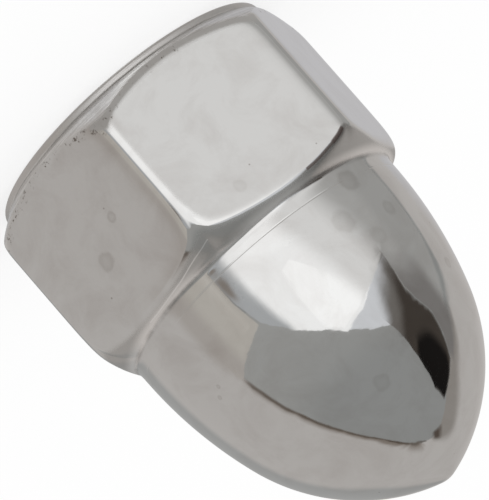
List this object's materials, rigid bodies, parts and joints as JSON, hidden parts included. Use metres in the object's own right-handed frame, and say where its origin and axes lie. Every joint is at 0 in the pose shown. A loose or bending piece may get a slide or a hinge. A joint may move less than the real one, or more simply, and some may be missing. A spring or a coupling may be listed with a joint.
{
  "type": "cap nut",
  "caption": "Hexagon cap nut with a tall, softly pointed dome over a blind threaded hole, in bright chrome plate.",
  "frame": {"origin": "centre of the seat, the flat face of the open end that bears on the joint", "axes": "+Z along the thread's axis from the seat to the tip of the dome; two of the hexagon's corners lie on the Y axis and two of its flats face +X and -X"},
  "size_m": [0.0142, 0.0162, 0.0204],
  "materials": {
    "chrome_plate": "bright nickel-chrome plate over polished steel"
  },
  "bodies": {
    "root": {"cap_nut": "chrome_plate"}
  },
  "joints": []
}
